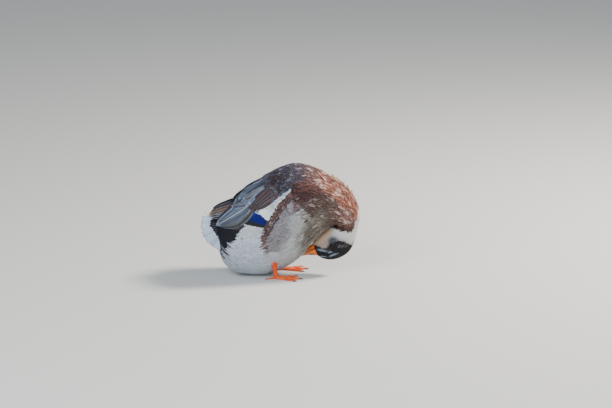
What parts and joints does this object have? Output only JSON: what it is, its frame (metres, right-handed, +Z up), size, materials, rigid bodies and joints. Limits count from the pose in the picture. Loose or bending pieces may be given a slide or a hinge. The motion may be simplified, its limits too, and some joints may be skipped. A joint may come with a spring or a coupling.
{
  "type": "duck",
  "caption": "Life-size still model of a farmyard drake on flat webbed feet, its back arched and its neck folded down so that the bill preens the belly feathers.",
  "frame": {"origin": "on the floor, under the middle of the bird", "axes": "+Z up, +X towards the breast and the folded neck, tail towards -X, the bird's own right side towards -Y"},
  "size_m": [0.4087, 0.198, 0.2905],
  "materials": {
    "body_plumage": "soft overlapping feathers, chestnut and brown above, pale grey below",
    "head_plumage": "short dense feathers, white collar, buff cheek, blackish crown",
    "wing_plumage": "large smooth feathers, blue-grey, with a glossy blue wing patch",
    "wing_tips": "stiff dark brown flight feathers with tan edges",
    "tail_plumage": "stiff white tail feathers",
    "bill": "satin horn, orange with an olive saddle",
    "leg_skin": "scaly orange skin",
    "eye": "wet, dark brown"
  },
  "bodies": {
    "root": {"trunk": "body_plumage", "neck_lower": "body_plumage", "neck_upper": "head_plumage", "head": "head_plumage", "wing_right": "wing_plumage", "wing_left": "wing_plumage", "wing_tip_right": "wing_tips", "wing_tip_left": "wing_tips", "tail": "tail_plumage", "bill_upper": "bill", "bill_lower": "bill", "eye_right": "eye", "eye_left": "eye", "leg_right": "leg_skin", "leg_left": "leg_skin", "foot_right": "leg_skin", "foot_left": "leg_skin"}
  },
  "joints": []
}
